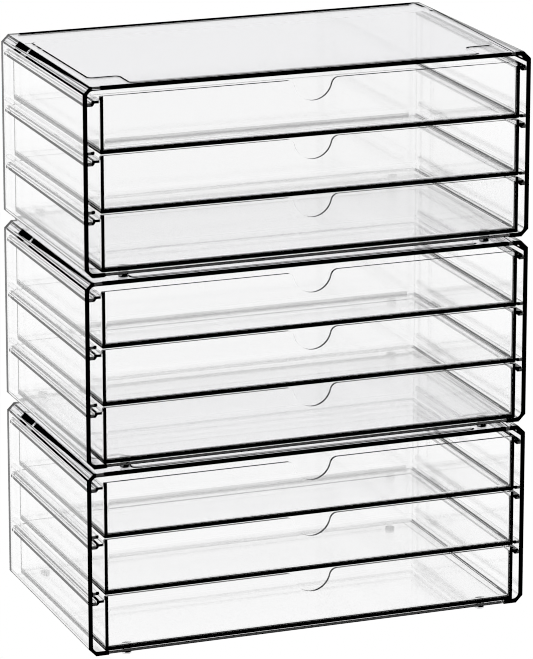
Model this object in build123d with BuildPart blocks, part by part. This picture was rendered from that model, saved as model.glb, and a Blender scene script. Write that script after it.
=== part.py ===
"""Clear plastic drawer organiser: three identical units stacked on their feet, three drawers in each.

Millimetres, +Z up, drawer fronts towards -Y.  The origin is on the table, under the centre of the
stack.  Left and right are as seen from the front.  Casing, drawer and foot are each modelled once,
with their own underside or seat at Z = 0, and copied to their places at the end.
"""

import os
from math import radians, tan

from build123d import *

# The stack
unit_names = ["lower", "middle", "upper"]
drawer_names = ["bottom", "centre", "top"]

# Casing: one moulding, open at the front
casing_width = 305.0
casing_depth = 172.5
casing_wall = 2.6
side_draft = 0.55  # degrees each side wall leans in towards the back
outer_chamfer = 4.8  # along the four long corners
inner_radius = 4.0
back_radius = 0.5  # round the back panel's outer edge
rim_radius = 0.5  # on the edges of the open front
side_step = 13.4  # from a casing side to the pad under the top panel and the relief under the bottom

# Pad: the top panel is thicker in its middle, on the inside, with a notch at both front corners
pad_depth = 1.25
pad_front = 9.0  # from the casing's front
pad_length = 134.9
pad_corner = 3.5
notch_width = 20.4
notch_length = 20.6
relief_depth = 0.8  # shallow relief under the bottom panel, right through from front to back

# Drawers
drawer_height = 37.2  # of the front panel
drawer_gap = 0.9  # between two front panels
drawer_proud = 3.9  # the front panels stand out of the casing
drawer_floor = 2.6
drawer_side = 2.1
drawer_front = 2.2
drawer_corner = 3.0
drawer_edge = 0.8  # rounding along the bottom
cavity_radius = 1.5
rim_drop = 3.0  # from the front panel's top edge down to the tops of the other walls
panel_corner = 1.0

# Room round the drawers
side_gap = 6.95  # casing wall to drawer wall, at the front
back_gap = 1.9
top_gap = 2.9
floor_gap = 1.6

# Runners: a flange along each side of a drawer lies on a rail, under a guide rib
flange_thickness = 1.7
flange_clearance = 0.45  # to the casing wall, where it is narrowest
rail_thickness = 2.4
rail_bevel = 1.2  # under the rail's inner edge
rail_gap = 2.35  # rail's inner edge to the drawer wall
rail_setback = 0.6  # behind the casing's front edge
rail_end = 2.5  # rails and guide ribs stop this far short of the back panel
guide_thickness = 2.0
guide_clearance = 3.0  # above the flange
guide_bevel = 0.6  # under the guide rib's inner edge

# Finger scoop in the middle of each front panel's top edge
scoop_radius = 13.0
scoop_depth = 14.0
scoop_flare = 5.0  # rounding on each side of its mouth

# Feet: small round discs near the corners
foot_radius = 3.2
foot_height = 2.9
foot_edge = 0.5
foot_from_notch = 5.8  # from the pad notch's inner line to the foot's centre
foot_from_end = 8.0

# Worked out from the sizes above
drawer_pitch = drawer_height + drawer_gap
drawers_height = len(drawer_names) * drawer_pitch - drawer_gap
casing_height = casing_wall + floor_gap + drawers_height + top_gap + casing_wall
unit_pitch = foot_height + casing_height
front_y = (drawer_proud - casing_depth) / 2
back_y = front_y + casing_depth
inner_back_y = back_y - casing_wall
drawer_width = casing_width - 2 * (casing_wall + side_gap)
drawer_front_y = front_y - drawer_proud
drawer_back_y = inner_back_y - back_gap
cavity_front_y = drawer_front_y + drawer_front
cavity_back_y = drawer_back_y - drawer_side
rim_height = drawer_height - rim_drop
flange_bottom = rim_height - flange_thickness
rail_tip = drawer_width / 2 + rail_gap
pad_x = casing_width / 2 - side_step
notch_x = pad_x - notch_width
foot_x = notch_x + foot_from_notch


def half_width(y: float) -> float:
    """Half of the casing's outer width at y: the side walls lean in towards the back."""
    return casing_width / 2 - (y - front_y) * tan(radians(side_draft))


def drawer_base(level: int) -> float:
    """Height of a drawer's underside above its casing's underside."""
    return casing_wall + floor_gap + level * drawer_pitch


def upright(y: float) -> Plane:
    """The plane across the object at y, with X to the right and Z up."""
    return Plane.XZ.offset(-y)


def runs_back(edge: Edge) -> bool:
    """Whether an edge runs from front to back, as the long corners do."""
    return abs(edge.tangent_at(0).Y) > 0.9


def mirrored_face(z: float, points: list, corner: float = 0) -> Sketch:
    """A flat face at z, from its right-hand points, front to back, and their mirror image."""
    with BuildSketch(Plane.XY.offset(z)) as face:
        with BuildLine():
            Polyline((0, points[0][1]), *points, (0, points[-1][1]))
            mirror(about=Plane.YZ)
        make_face()
        if corner:
            fillet(face.vertices(), corner)
    return face.sketch


def make_casing() -> BuildPart:
    """A unit's casing, with its rails, guide ribs, top pad and underside relief."""
    with BuildPart() as casing:
        # Shell: a block that narrows towards the back, its long corners chamfered
        shell = mirrored_face(0, [(half_width(y), y) for y in (front_y, back_y)])
        extrude(shell, amount=casing_height)
        chamfer(casing.edges().filter_by(runs_back), outer_chamfer)
        fillet(casing.faces().sort_by(Axis.Y)[-1].edges(), back_radius)

        # Hollow, open at the front
        inside = [(half_width(y) - casing_wall, y) for y in (front_y, inner_back_y)]
        hollow = mirrored_face(casing_wall, inside)
        extrude(hollow, amount=casing_height - 2 * casing_wall, mode=Mode.SUBTRACT)
        fillet(casing.edges(Select.LAST).filter_by(runs_back), inner_radius)
        fillet(casing.faces().sort_by(Axis.Y)[0].edges(), rim_radius)

        # Rails and guide ribs: ledges from a straight inner edge to half way into the wall
        ledges = []
        for level in range(len(drawer_names)):
            rail_base = drawer_base(level) + flange_bottom - rail_thickness
            ledges.append((rail_base, rail_thickness, rail_bevel))
        for level in range(len(drawer_names) - 1):
            guide_base = drawer_base(level) + rim_height + guide_clearance
            ledges.append((guide_base, guide_thickness, guide_bevel))
        ledge_front_y = front_y + rail_setback
        ledge_back_y = inner_back_y - rail_end
        ledge_corners = [
            (rail_tip, ledge_front_y),
            (half_width(ledge_front_y) - casing_wall / 2, ledge_front_y),
            (half_width(ledge_back_y) - casing_wall / 2, ledge_back_y),
            (rail_tip, ledge_back_y),
        ]
        for ledge_base, thickness, bevel in ledges:
            for side in (-1, 1):
                with BuildSketch(Plane.XY.offset(ledge_base)):
                    with BuildLine():
                        Polyline(*[(side * x, y) for x, y in ledge_corners], close=True)
                    make_face()
                extrude(amount=thickness)
                chamfer(casing.edges(Select.LAST).filter_by(Axis.Y).sort_by(Axis.Z)[0], bevel)

        # Pad under the top panel
        pad_front_y = front_y + pad_front
        outline = [
            (notch_x, pad_front_y),
            (notch_x, pad_front_y + notch_length),
            (pad_x, pad_front_y + notch_length),
            (pad_x, pad_front_y + pad_length),
        ]
        pad = mirrored_face(casing_height - casing_wall, outline, pad_corner)
        extrude(pad, amount=-pad_depth)

        # Relief under the bottom panel
        relief = mirrored_face(0, [(half_width(y) - side_step, y) for y in (front_y, back_y)])
        extrude(relief, amount=relief_depth, mode=Mode.SUBTRACT)
    return casing


def make_drawer() -> BuildPart:
    """A drawer: a tray with a taller front panel and a flange along each side."""
    cavity_length = cavity_back_y - cavity_front_y
    cavity_middle_y = (cavity_front_y + cavity_back_y) / 2
    with BuildPart() as drawer:
        # Block with the front panel at full height and the rest cut down to the rim
        with BuildSketch() as outline:
            with Locations((0, (drawer_front_y + drawer_back_y) / 2)):
                Rectangle(drawer_width, drawer_back_y - drawer_front_y)
            fillet(outline.vertices().group_by(Axis.Y)[-1], drawer_corner)
        extrude(amount=drawer_height)
        fillet(drawer.faces().sort_by(Axis.Z)[0].edges(), drawer_edge)
        with BuildSketch(Plane.XY.offset(rim_height)):
            with Locations((0, (cavity_front_y + drawer_back_y) / 2)):
                Rectangle(drawer_width, drawer_back_y - cavity_front_y)
        extrude(amount=rim_drop, mode=Mode.SUBTRACT)

        # Flanges, as one plate that the cavity cuts in two
        with BuildSketch(Plane.XY.offset(flange_bottom)):
            with Locations((0, cavity_middle_y)):
                Rectangle(2 * flange_tip, cavity_length)
        extrude(amount=flange_thickness)

        # Cavity
        with BuildSketch(Plane.XY.offset(rim_height)) as opening:
            with Locations((0, cavity_middle_y)):
                Rectangle(drawer_width - 2 * drawer_side, cavity_length)
            fillet(opening.vertices(), cavity_radius)
        extrude(amount=drawer_floor - rim_height, mode=Mode.SUBTRACT)
        cavity_floor = drawer.faces().filter_by(Axis.Z).group_by(Axis.Z)[1]
        fillet(cavity_floor.edges(), cavity_radius)

        # Finger scoop in the front panel, with its mouth and the panel's two upper corners rounded
        with BuildSketch(upright(drawer_front_y)):
            with Locations((0, drawer_height - scoop_depth + scoop_radius)):
                Circle(scoop_radius)
        extrude(amount=-drawer_front, mode=Mode.SUBTRACT)
        corners = drawer.edges().filter_by(Axis.Y).group_by(Axis.Z)[-1].sort_by(Axis.X)
        fillet(corners[1:3], scoop_flare)
        fillet(corners[::3], panel_corner)
    return drawer


def make_foot() -> BuildPart:
    """A round disc, seated in the relief under a casing."""
    with BuildPart() as foot:
        with BuildSketch(Plane.XY.offset(-foot_height)):
            Circle(foot_radius)
        extrude(amount=foot_height + relief_depth)
        fillet(foot.edges().sort_by(Axis.Z)[0], foot_edge)
    return foot


def save(piece: BuildPart, label: str, place: tuple) -> None:
    """Write out a labelled copy of a piece, moved to its place."""
    with BuildPart() as placed:
        with Locations(place):
            add(piece.part)
    placed.part.label = label
    export_step(placed.part, f"parts/{label}.step")


flange_tip = half_width(drawer_back_y) - casing_wall - flange_clearance

casing = make_casing()
drawer = make_drawer()
foot = make_foot()

os.makedirs("parts", exist_ok=True)
for unit, unit_name in enumerate(unit_names):
    base = foot_height + unit * unit_pitch
    save(casing, f"{unit_name}_casing", (0, 0, base))
    for level, drawer_name in enumerate(drawer_names):
        save(drawer, f"{unit_name}_{drawer_name}_drawer", (0, 0, base + drawer_base(level)))
    for side, x in (("left", -foot_x), ("right", foot_x)):
        for end, y in (("front", front_y + foot_from_end), ("back", back_y - foot_from_end)):
            save(foot, f"{unit_name}_{end}_{side}_foot", (x, y, base))
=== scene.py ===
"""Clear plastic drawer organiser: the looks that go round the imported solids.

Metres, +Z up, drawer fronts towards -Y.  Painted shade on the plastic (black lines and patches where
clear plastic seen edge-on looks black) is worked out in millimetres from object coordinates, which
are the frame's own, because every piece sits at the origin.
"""

from functools import reduce
from math import cos, radians, sin, tan
from operator import or_

import bpy
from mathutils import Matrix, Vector

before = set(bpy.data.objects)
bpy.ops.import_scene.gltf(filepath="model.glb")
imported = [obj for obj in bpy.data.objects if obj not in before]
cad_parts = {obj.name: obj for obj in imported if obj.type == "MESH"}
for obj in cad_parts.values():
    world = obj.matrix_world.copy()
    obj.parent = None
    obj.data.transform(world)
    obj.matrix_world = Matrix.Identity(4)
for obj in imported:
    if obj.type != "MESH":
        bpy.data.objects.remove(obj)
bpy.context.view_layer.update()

MM = 0.001

# Sizes of the object, in millimetres
FOOT_HEIGHT = 2.9
FOOT_X = 124.5
UNIT_PITCH = 126.0
CASING_HEIGHT = 123.1
CASING_WIDTH = 305.0
CASING_FRONT = -84.3
CASING_BACK = 88.2
CASING_WALL = 2.6
SIDE_DRAFT = 0.55  # degrees
CHAMFER = 4.8
RELIEF_DEPTH = 0.8
TOP_UNDERSIDE = CASING_HEIGHT - CASING_WALL
PAD_X = 139.1
PAD_FRONT = -75.3
PAD_BACK = 59.6
PAD_DEPTH = 1.25
NOTCH_WIDTH = 20.4
NOTCH_LENGTH = 20.6
DRAWER_LIFT = 4.2  # underside of the lowest drawer above its casing's underside
DRAWER_PITCH = 38.1
DRAWER_FRONT = -88.2
DRAWER_HALF_WIDTH = 142.95
DRAWER_FLOOR = 2.6
DRAWER_SIDE = 2.1
DRAWER_PANEL = 2.2
DRAWER_EDGE = 0.8

# Painted shade marks, in millimetres: black where clear plastic seen edge-on looks black.  A pair is
# a range, from and to.  Heights are above a casing's, a drawer's or a foot's underside, and depths are
# behind the casing's front.
ON_FACE = 0.05  # this near to a flat face counts as on it

# Casing, painted shade: black on the ends of the walls round the open front, and the clear places in them
RIM_DEPTH = 1.6
CLEAR_FLOOR_HEIGHT = (RELIEF_DEPTH + 0.35, CASING_WALL + 0.5)
CLEAR_ROOT = (147.4, 149.7)  # between a ledge's tip and the wall, on each side
CLEAR_ROOT_HEIGHT = (8.0, 115.0)
CLEAR_WINDOWS = [(-146.7, -141.3), (138.6, 141.4)]
CLEAR_WINDOW_HEIGHT = (121.3, CASING_HEIGHT + 0.1)

# Casing, inside on the right, painted shade lines: the rounded upper corner (heights, then how deep),
# then the upper and lower edge of each rail's tip
INNER_CORNER = (145.5, 150.4)
INNER_CORNER_MARKS = [((116.3, 120.45), 8.0), ((115.9, 117.2), 19.0)]
RAIL_TIP = (145.2, 145.6)
RAIL_TIP_HEIGHTS = [(31.2, 31.5), (32.25, 32.55)]
RAIL_TIP_DEPTH = (6.0, 36.0)

# Casing, painted shade: the pad's front and left walls, short of its right and back ones and of its right
# notch
PAD_WALL_ACROSS = (-PAD_X - 0.2, PAD_X - 1.5)
PAD_WALL_ALONG = (PAD_FRONT - 0.2, PAD_BACK - 0.1)
PAD_WALL_HEIGHT = (TOP_UNDERSIDE - PAD_DEPTH + 0.03, TOP_UNDERSIDE - 0.03)
RIGHT_NOTCH_X = PAD_X - NOTCH_WIDTH - 1.0
RIGHT_NOTCH_Y = PAD_FRONT + NOTCH_LENGTH - 2.0

# Casing, long corners, painted shade: a wedge along each chamfer's upper edge, and a line along its
# lower edge
CHAMFER_SLACK = 0.1
WEDGE_WIDTH = 0.75
WEDGE_SPREAD = 0.0155  # wider by this for each millimetre of depth
WEDGE_DEPTHS = [(-1.0, 121.0), (124.0, 147.0)]
LINE_WIDTH = 0.95
LINE_DEPTHS = [(-1.0, 119.6), (131.0, 144.5)]

# Casing, top face, painted shade: a slanting line on the right, the strip along the back with its
# narrower right end, and a short stroke and a dot at the right back corner
SLANT = (139.9, 140.9)
SLANT_RISE = 0.0379  # to the right, for each millimetre of depth
SLANT_END = CASING_BACK - 7.5
STRIP_FRONT = CASING_BACK - 6.5
STRIP_END = (139.0, 142.2)
STRIP_END_FRONT = CASING_BACK - 3.5
STROKE = (148.1, 150.5)
STROKE_RISE = 0.0892
STROKE_ALONG = (71.1, 83.4)
DOT = (141.9, 143.9)
DOT_ALONG = (56.5, 59.6)
# painted shade: the back face's upper part is painted black
BACK_EDGE_HEIGHT = 4.2  # of the dark upper part of the back face

# Casing, top face, painted shade: the pad's outline where it shows through the top, in straight runs
# (across, then along) and in the corners between them (centre x and y, then the quarter that is drawn)
OUTLINE_RUNS = [
    ((-141.3, -139.9), (-55.4, 32.0)),
    ((-141.3, -139.9), (35.6, 43.5)),
    ((-141.3, -139.9), (48.0, 53.5)),
    ((-137.1, -123.9), (-60.1, -57.7)),
    ((-121.1, -119.7), (-77.8, -62.4)),
    ((-116.9, 113.7), (-82.0, -80.6)),
    ((120.7, 134.1), (-60.1, -57.7)),
    ((138.4, 139.0), (-79.2, -47.4)),
]
OUTLINE_CORNERS = [
    (-137.1, -55.4, -1, -1),
    (-123.9, -62.4, 1, 1),
    (-116.9, -77.8, -1, -1),
    (113.7, -77.8, 1, -1),
    (120.7, -62.4, -1, 1),
]
OUTLINE_RADIUS = 3.5
OUTLINE_WEIGHT = 1.8

# Drawers, painted shade: black on the rounding under each side wall near the front, and on the line
# where it meets the floor
NEAR_EDGE_WIDTH = 0.9
NEAR_EDGE_BACK = DRAWER_FRONT + 22.0
NEAR_EDGE_HEIGHT = 1.5
FLOOR_LINE_HEIGHT = (2.3, 2.9)
FLOOR_LINE_BACK = 48.0

# Feet, painted shade: black on the upper rim, and on a patch on the wall's front and back
FOOT_RIM = 0.9
FOOT_PATCH_HALF_WIDTH = 1.9
FOOT_PATCH_HEIGHT = 1.0

# Plastics
CASING_TINT = (0.992, 0.992, 0.993)
TOP_TINT = (0.919, 0.919, 0.935)  # of the thicker top panel
DRAWER_TINT = (0.999, 0.999, 0.9995)
# the black of the painted shade
PAINTED_SHADE_TINT = (0.0, 0.0, 0.0)
PLASTIC_IOR = 1.49
RIPPLE_LENGTH = 30.0
RIPPLE_HEIGHT = 0.02
FOOT_DARK_TINT = (0.40, 0.40, 0.41)
FOOT_LIGHT_TINT = (0.62, 0.62, 0.63)
FOOT_LUMPS = 1.5
FOOT_IOR = 1.42
FOOT_ROUGHNESS = 0.05
SOLE_ROUGHNESS = 0.35

# Studio and camera
FLOOR_REACH = 60.0
LOW_LIGHT = 0.84  # of the studio, up to the height below
LOW_HEIGHT = 0.45  # sine of the elevation
SENSOR_WIDTH = 36.0
LENS = 247.2
CAMERA_PLACE = (-1.0324, -2.6903, 0.9910)
CAMERA_TURN = 21.03  # degrees to the right
CAMERA_TILT = 15.63  # degrees down
BOUNCES = 48


class Shade:
    """A number that varies over a surface: a node socket that takes plain arithmetic."""

    def __init__(self, tree, socket):
        self.tree = tree
        self.socket = socket

    def math(self, operation, *others):
        node = self.tree.nodes.new("ShaderNodeMath")
        node.operation = operation
        for slot, value in zip(node.inputs, (self, *others)):
            if isinstance(value, Shade):
                self.tree.links.new(value.socket, slot)
            else:
                slot.default_value = value
        return Shade(self.tree, node.outputs[0])

    def __add__(self, other):
        return self.math("ADD", other)

    def __sub__(self, other):
        return self.math("SUBTRACT", other)

    def __mul__(self, other):
        return self.math("MULTIPLY", other)

    def __mod__(self, other):
        return self.math("FLOORED_MODULO", other)

    def __lt__(self, other):
        return self.math("LESS_THAN", other)

    def __gt__(self, other):
        return self.math("GREATER_THAN", other)

    def __and__(self, other):
        return self.math("MINIMUM", other)

    def __or__(self, other):
        return self.math("MAXIMUM", other)

    def __abs__(self):
        return self.math("ABSOLUTE")

    def __invert__(self):
        return (self * -1) + 1

    def between(self, low, high):
        """1 where this is between low and high, otherwise 0."""
        return (self > low) & (self < high)

    def in_any(self, ranges):
        """1 where this is in at least one of the ranges."""
        return reduce(or_, [self.between(*pair) for pair in ranges])

    def above(self, base, pitch):
        """How far this is above the base, or above the last of its copies, a pitch apart."""
        return ((self - (base - 1.0)) % pitch) - 1.0

    def mix(self, low, high):
        """Low where this is 0, high where it is 1."""
        return (self * (high - low)) + low


def plastic(name):
    """A new material with its shader and its x, y, z in millimetres."""
    material = bpy.data.materials.new(name)
    material.use_nodes = True
    tree = material.node_tree
    shader = tree.nodes["Principled BSDF"]
    coordinates = tree.nodes.new("ShaderNodeTexCoord")
    scale = tree.nodes.new("ShaderNodeVectorMath")
    scale.operation = "SCALE"
    scale.inputs["Scale"].default_value = 1 / MM
    split = tree.nodes.new("ShaderNodeSeparateXYZ")
    tree.links.new(coordinates.outputs["Object"], scale.inputs[0])
    tree.links.new(scale.outputs[0], split.inputs[0])
    return material, shader, [Shade(tree, socket) for socket in split.outputs]


def cloud(tree, length, detail):
    """Soft random cloud, about 0 to 1, whose lumps are the given length in millimetres."""
    coordinates = tree.nodes.new("ShaderNodeTexCoord")
    noise = tree.nodes.new("ShaderNodeTexNoise")
    noise.inputs["Scale"].default_value = 1 / (length * MM)
    noise.inputs["Detail"].default_value = detail
    tree.links.new(coordinates.outputs["Object"], noise.inputs["Vector"])
    return Shade(tree, noise.outputs["Fac"])


def blend_colours(tree, factor, low, high):
    """The colour low where factor is 0 and high where it is 1; each is a triple or a socket."""
    mix = tree.nodes.new("ShaderNodeMix")
    mix.data_type = "RGBA"
    tree.links.new(factor.socket, mix.inputs["Factor"])
    for slot, colour in ((mix.inputs[6], low), (mix.inputs[7], high)):
        if isinstance(colour, tuple):
            slot.default_value = (*colour, 1)
        else:
            tree.links.new(colour, slot)
    return mix.outputs[2]


def finish_plastic(shader, painted_shade, tint):
    """Clear polished plastic with painted shade: opaque, black and without reflection where the mask is 1.
    """
    tree = shader.id_data
    # painted shade: black, opaque and with no specular reflection where the mask is 1
    tree.links.new(blend_colours(tree, painted_shade, tint, PAINTED_SHADE_TINT), shader.inputs["Base Color"])
    tree.links.new((~painted_shade).socket, shader.inputs["Transmission Weight"])
    tree.links.new((~painted_shade * 0.5).socket, shader.inputs["Specular IOR Level"])
    shader.inputs["IOR"].default_value = PLASTIC_IOR
    shader.inputs["Roughness"].default_value = 0.0

    ripple = tree.nodes.new("ShaderNodeBump")
    ripple.inputs["Strength"].default_value = 1.0
    ripple.inputs["Distance"].default_value = RIPPLE_HEIGHT * MM
    tree.links.new(cloud(tree, RIPPLE_LENGTH, 0.0).socket, ripple.inputs["Height"])
    tree.links.new(ripple.outputs["Normal"], shader.inputs["Normal"])


def front_end_shade(x, height, depth):
    """Painted shade: black on the walls' ends round the open front and the ledges' tips, without their
    clear places.
    """
    width = abs(x)
    floor = (width < PAD_X) & height.between(*CLEAR_FLOOR_HEIGHT)
    root = width.between(*CLEAR_ROOT) & height.between(*CLEAR_ROOT_HEIGHT)
    windows = x.in_any(CLEAR_WINDOWS) & height.between(*CLEAR_WINDOW_HEIGHT)
    return (depth < RIM_DEPTH) & ~(floor | root | windows)


def inner_shade_lines(x, height, depth):
    """Painted shade lines on the rounded upper corner and the edges of the rails' tips, inside on the
    right.
    """
    parts = [height.between(*heights) & (depth < end) for heights, end in INNER_CORNER_MARKS]
    corner = x.between(*INNER_CORNER) & reduce(or_, parts)
    rail_height = (height - DRAWER_LIFT) % DRAWER_PITCH
    rail_edges = x.between(*RAIL_TIP) & rail_height.in_any(RAIL_TIP_HEIGHTS)
    return corner | (rail_edges & depth.between(*RAIL_TIP_DEPTH))


def pad_wall_shade(x, y, height):
    """Painted shade on the pad's walls that face the front or the left."""
    walls = x.between(*PAD_WALL_ACROSS) & y.between(*PAD_WALL_ALONG)
    right_notch = (x > RIGHT_NOTCH_X) & (y < RIGHT_NOTCH_Y)
    return walls & height.between(*PAD_WALL_HEIGHT) & ~right_notch


def corner_shade_lines(width, height, depth):
    """Painted shade: the wedge and the line on the chamfers of the two upper long corners."""
    half_width = (depth * -tan(radians(SIDE_DRAFT))) + CASING_WIDTH / 2
    on_chamfer = ((width + height) - half_width) > CASING_HEIGHT - CHAMFER - CHAMFER_SLACK
    below_top = (height * -1) + CASING_HEIGHT
    wedge = ((below_top - (depth * WEDGE_SPREAD)) < WEDGE_WIDTH) & depth.in_any(WEDGE_DEPTHS)
    line = (below_top > CHAMFER - LINE_WIDTH) & depth.in_any(LINE_DEPTHS)
    return on_chamfer & (wedge | line)


def pad_outline_shade(x, y):
    """Painted shade where the pad's outline shows through the top: runs, and corners where |distance to
    the centre - radius| is small.
    """
    marks = [x.between(*across) & y.between(*along) for across, along in OUTLINE_RUNS]
    for centre_x, centre_y, x_side, y_side in OUTLINE_CORNERS:
        across = (x - centre_x) * x_side
        along = (y - centre_y) * y_side
        distance = ((across * across) + (along * along)).math("SQRT")
        on_arc = abs(distance - OUTLINE_RADIUS) < OUTLINE_WEIGHT / 2
        marks.append(on_arc & (across > 0.0) & (along > 0.0))
    return reduce(or_, marks)


def top_shade_marks(x, y, height, depth):
    """Painted shade: the lines on the top face, and the black upper part of the back face."""
    in_middle = abs(x) < PAD_X
    slant = (x - (depth * SLANT_RISE)).between(*SLANT) & (y < SLANT_END)
    strip = in_middle & (y > STRIP_FRONT)
    strip_end = x.between(*STRIP_END) & (y > STRIP_END_FRONT)
    stroke = (x + (y * STROKE_RISE)).between(*STROKE) & y.between(*STROKE_ALONG)
    dot = x.between(*DOT) & y.between(*DOT_ALONG)
    lines = pad_outline_shade(x, y) | slant | strip | strip_end | stroke | dot
    back_edge = in_middle & (height > CASING_HEIGHT - BACK_EDGE_HEIGHT) & (y > CASING_BACK - 0.1)
    return ((height > CASING_HEIGHT - ON_FACE) & lines) | back_edge


def casing_plastic():
    """Clear plastic with painted shade: black where one looks edge-on into the walls, the pad under the
    top and the long corners.
    """
    material, shader, (x, y, z) = plastic("casing_clear_plastic_and_painted_shade")
    height = z.above(FOOT_HEIGHT, UNIT_PITCH)
    depth = y - CASING_FRONT
    # painted shade: every black line and patch on the casings
    painted_shade = reduce(or_, [
        front_end_shade(x, height, depth),
        inner_shade_lines(x, height, depth),
        pad_wall_shade(x, y, height),
        corner_shade_lines(abs(x), height, depth),
        top_shade_marks(x, y, height, depth),
    ])
    in_top = height > TOP_UNDERSIDE - PAD_DEPTH - 0.1
    finish_plastic(shader, painted_shade, blend_colours(shader.id_data, in_top, CASING_TINT, TOP_TINT))
    return material


def drawer_plastic():
    """Clear plastic with painted shade: black where one looks edge-on into the floor, side walls and
    flanges through the front panel.
    """
    material, shader, (x, y, z) = plastic("drawer_clear_plastic_and_painted_shade")
    height = ((z - (FOOT_HEIGHT + DRAWER_LIFT)) % UNIT_PITCH) % DRAWER_PITCH
    width = abs(x)
    # painted shade: black lines where one looks edge-on into the drawer's walls
    floor_end = (y < DRAWER_FRONT + DRAWER_EDGE) & (height < DRAWER_FLOOR)
    side_end = (y < DRAWER_FRONT + ON_FACE) & (width > DRAWER_HALF_WIDTH - DRAWER_SIDE)
    on_flange = width > DRAWER_HALF_WIDTH + ON_FACE
    flange_end = (y < DRAWER_FRONT + DRAWER_PANEL + ON_FACE) & on_flange
    near_edge = (width > DRAWER_HALF_WIDTH - NEAR_EDGE_WIDTH) & (y < NEAR_EDGE_BACK)
    near_edge = near_edge & (height < NEAR_EDGE_HEIGHT)
    floor_line = (width > DRAWER_HALF_WIDTH - ON_FACE) & (y < FLOOR_LINE_BACK)
    floor_line = floor_line & height.between(*FLOOR_LINE_HEIGHT)
    finish_plastic(shader, floor_end | side_end | flange_end | near_edge | floor_line, DRAWER_TINT)
    return material


def foot_plastic():
    """Softer plastic, slightly cloudy and grey, with painted shade black round its upper rim and on a
    patch, and dull on the sole.
    """
    material, shader, (x, _, z) = plastic("foot_clear_plastic_and_painted_shade")
    tree = shader.id_data
    height = z.above(0.0, UNIT_PITCH)
    # painted shade: the black rim and patch
    rim = height.between(FOOT_HEIGHT - FOOT_RIM, FOOT_HEIGHT)
    patch = (abs(abs(x) - FOOT_X) < FOOT_PATCH_HALF_WIDTH) & height.between(FOOT_PATCH_HEIGHT, FOOT_HEIGHT)
    tint = blend_colours(tree, cloud(tree, FOOT_LUMPS, 2.0), FOOT_DARK_TINT, FOOT_LIGHT_TINT)
    finish_plastic(shader, rim | patch, tint)
    roughness = (height < ON_FACE).mix(FOOT_ROUGHNESS, SOLE_ROUGHNESS)
    tree.links.new(roughness.socket, shader.inputs["Roughness"])
    shader.inputs["IOR"].default_value = FOOT_IOR
    return material


def dress():
    """Gives every CAD node its plastic."""
    kinds = {"casing": casing_plastic(), "drawer": drawer_plastic(), "foot": foot_plastic()}
    for name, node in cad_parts.items():
        node.data.materials.clear()
        node.data.materials.append(kinds[name.rsplit("_", 1)[1]])


def add_floor():
    """A plain white floor, lit evenly from within like a light table."""
    mesh = bpy.data.meshes.new("floor")
    near, far = -FLOOR_REACH, FLOOR_REACH
    mesh.from_pydata([(near, near, 0), (far, near, 0), (far, far, 0), (near, far, 0)], [], [(0, 1, 2, 3)])
    floor = bpy.data.objects.new("floor", mesh)
    bpy.context.scene.collection.objects.link(floor)
    material = bpy.data.materials.new("white_floor")
    material.use_nodes = True
    shader = material.node_tree.nodes["Principled BSDF"]
    shader.inputs["Base Color"].default_value = (0, 0, 0, 1)
    shader.inputs["Specular IOR Level"].default_value = 0
    shader.inputs["Emission Color"].default_value = (1, 1, 1, 1)
    shader.inputs["Emission Strength"].default_value = 1.0
    mesh.materials.append(material)


def add_studio():
    """Soft white light from all round, a little dimmer low down."""
    world = bpy.data.worlds.new("studio")
    bpy.context.scene.world = world
    world.use_nodes = True
    tree = world.node_tree
    background = tree.nodes["Background"]
    coordinates = tree.nodes.new("ShaderNodeTexCoord")
    split = tree.nodes.new("ShaderNodeSeparateXYZ")
    tree.links.new(coordinates.outputs["Generated"], split.inputs[0])
    light = (Shade(tree, split.outputs[2]) < LOW_HEIGHT).mix(1.0, LOW_LIGHT)
    background.inputs["Color"].default_value = (1, 1, 1, 1)
    tree.links.new(light.socket, background.inputs["Strength"])


def add_camera():
    """The photograph's camera: front left, slightly above."""
    data = bpy.data.cameras.new("camera")
    data.sensor_width = SENSOR_WIDTH
    data.lens = LENS
    data.clip_end = 100.0
    camera = bpy.data.objects.new("camera", data)
    bpy.context.scene.collection.objects.link(camera)
    bpy.context.scene.camera = camera
    turn, tilt = radians(CAMERA_TURN), radians(CAMERA_TILT)
    sight = Vector((sin(turn) * cos(tilt), cos(turn) * cos(tilt), -sin(tilt)))
    camera.location = CAMERA_PLACE
    camera.rotation_euler = sight.to_track_quat("-Z", "Y").to_euler()


def set_light_paths():
    """Enough bounces for light to pass the many clear walls; few inner reflections, so edges stay dark."""
    cycles = bpy.context.scene.cycles
    cycles.max_bounces = BOUNCES
    cycles.transmission_bounces = BOUNCES
    cycles.glossy_bounces = 7
    cycles.transparent_max_bounces = 64
    cycles.filter_width = 1.0
    bpy.context.scene.view_settings.view_transform = "Standard"


dress()
add_floor()
add_studio()
add_camera()
set_light_paths()
